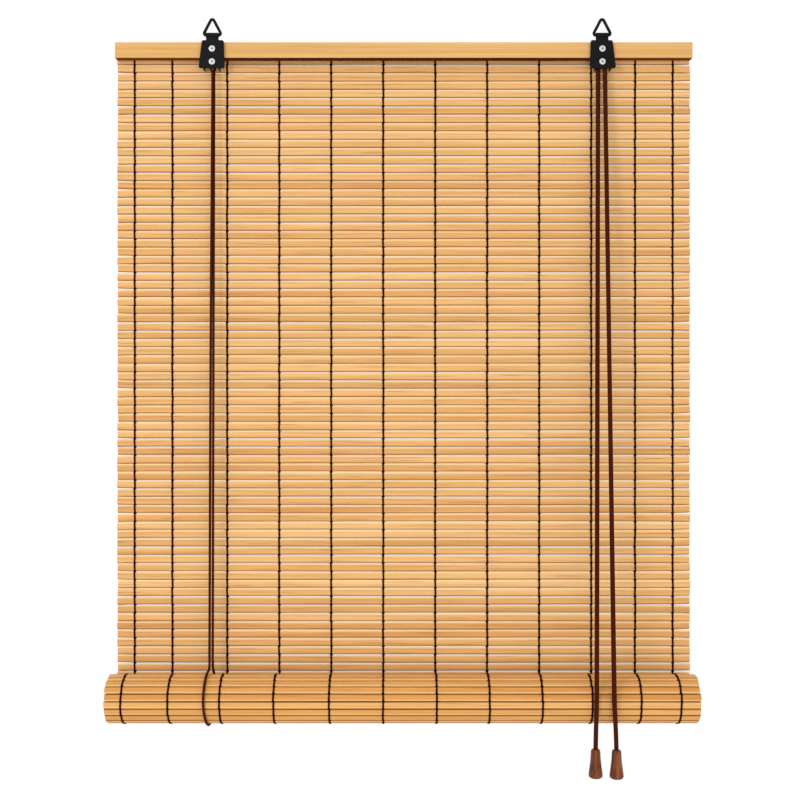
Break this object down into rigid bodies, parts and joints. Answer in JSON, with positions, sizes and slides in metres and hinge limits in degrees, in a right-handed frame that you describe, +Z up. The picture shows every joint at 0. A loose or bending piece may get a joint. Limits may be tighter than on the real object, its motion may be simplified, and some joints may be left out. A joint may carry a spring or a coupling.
{
  "type": "bamboo roll up blind",
  "caption": "Bamboo slat blind on a wooden head rail, rolled up at the bottom in cord loops, with pulley brackets, hanging rings and tasselled pull cords.",
  "frame": {"origin": "middle of the back batten's back face, on the wall plane", "axes": "+X along the head rail, +Y towards the wall, +Z up"},
  "size_m": [0.6024, 0.0669, 0.7758],
  "materials": {
    "bamboo": "satin",
    "rail_wood": "satin",
    "warp_thread": "matte",
    "cloth_tape": "matte",
    "black_steel": "satin",
    "zinc_steel": "gloss",
    "nylon": "satin",
    "lift_cord": "matte",
    "pull_cord": "matte",
    "walnut": "satin"
  },
  "bodies": {
    "headrail": {"head_rail": "rail_wood", "back_batten": "rail_wood", "rail_nails": "zinc_steel", "rail_tape": "cloth_tape", "top_slats": "bamboo", "top_warp": "warp_thread", "field_slats": "bamboo", "field_warp": "warp_thread", "left_cover_plate": "black_steel", "left_pulley_frame": "black_steel", "left_ring_strap": "black_steel", "left_rail_screw": "zinc_steel", "left_pulley_axle": "zinc_steel", "right_cover_plate": "black_steel", "right_pulley_frame": "black_steel", "right_ring_strap": "black_steel", "right_rail_screw": "zinc_steel", "right_pulley_axle": "zinc_steel", "cross_cord": "lift_cord", "right_turn_cord": "lift_cord", "left_front_cord": "lift_cord", "left_stay_cord": "lift_cord", "left_rear_cord": "lift_cord", "right_front_cord": "lift_cord", "right_rear_cord": "lift_cord", "left_pull_cord": "pull_cord", "right_pull_cord": "pull_cord"},
    "left_ring": {"left_hanging_ring": "black_steel"},
    "right_ring": {"right_hanging_ring": "black_steel"},
    "left_wheel": {"left_pulley": "nylon"},
    "right_front_wheel": {"right_front_pulley": "nylon"},
    "right_rear_wheel": {"right_rear_pulley": "nylon"},
    "lift_loops": {"left_lift_loop": "lift_cord", "right_lift_loop": "lift_cord", "left_stay_tail": "lift_cord"},
    "roll": {"curtain_roll": "bamboo", "roll_warp": "warp_thread", "bottom_rail": "rail_wood"},
    "left_pull": {"left_tassel": "walnut", "left_tassel_knot": "pull_cord", "left_pull_tail": "pull_cord"},
    "right_pull": {"right_tassel": "walnut", "right_tassel_knot": "pull_cord", "right_pull_tail": "pull_cord"}
  },
  "joints": [
    {"name": "left_ring_swing", "type": "hinge", "parent": "headrail", "child": "left_ring", "pos_m": [-0.199, -0.0159, 0.015], "axis": [1, 0, 0], "range_deg": [-90, 120]},
    {"name": "right_ring_swing", "type": "hinge", "parent": "headrail", "child": "right_ring", "pos_m": [0.2062, -0.0159, 0.015], "axis": [1, 0, 0], "range_deg": [-90, 120]},
    {"name": "left_pulley_spin", "type": "hinge", "parent": "headrail", "child": "left_wheel", "pos_m": [-0.199, -0.0141, -0.013], "axis": [0, 1, 0], "continuous": true},
    {"name": "right_front_pulley_spin", "type": "hinge", "parent": "headrail", "child": "right_front_wheel", "pos_m": [0.2062, -0.0141, -0.013], "axis": [0, 1, 0], "continuous": true},
    {"name": "right_rear_pulley_spin", "type": "hinge", "parent": "headrail", "child": "right_rear_wheel", "pos_m": [0.2062, -0.0101, -0.013], "axis": [0, 1, 0], "continuous": true},
    {"name": "roll_lift", "type": "slide", "parent": "headrail", "child": "lift_loops", "axis": [0, 0, 1], "range_m": [0, 0.6], "deforming": ["field_slats", "field_warp", "left_front_cord", "left_stay_cord", "right_front_cord", "left_pull_cord", "right_pull_cord", "left_rear_cord", "right_rear_cord"]},
    {"name": "roll_turn", "type": "hinge", "parent": "lift_loops", "child": "roll", "pos_m": [0, -0.0292, -0.67035], "axis": [-1, 0, 0], "range_deg": [0, 1421.1]},
    {"name": "left_tassel_drop", "type": "slide", "parent": "lift_loops", "child": "left_pull", "axis": [0, 0, -1], "range_m": [0, 1.8], "deforming": ["left_pull_tail"]},
    {"name": "right_tassel_drop", "type": "slide", "parent": "lift_loops", "child": "right_pull", "axis": [0, 0, -1], "range_m": [0, 1.8], "deforming": ["right_pull_tail"]}
  ],
  "couplings": [
    {"joint": "roll_turn", "follows": "roll_lift", "rad_per_m": 41.322},
    {"joint": "left_tassel_drop", "follows": "roll_lift", "ratio": 3},
    {"joint": "right_tassel_drop", "follows": "roll_lift", "ratio": 3}
  ]
}
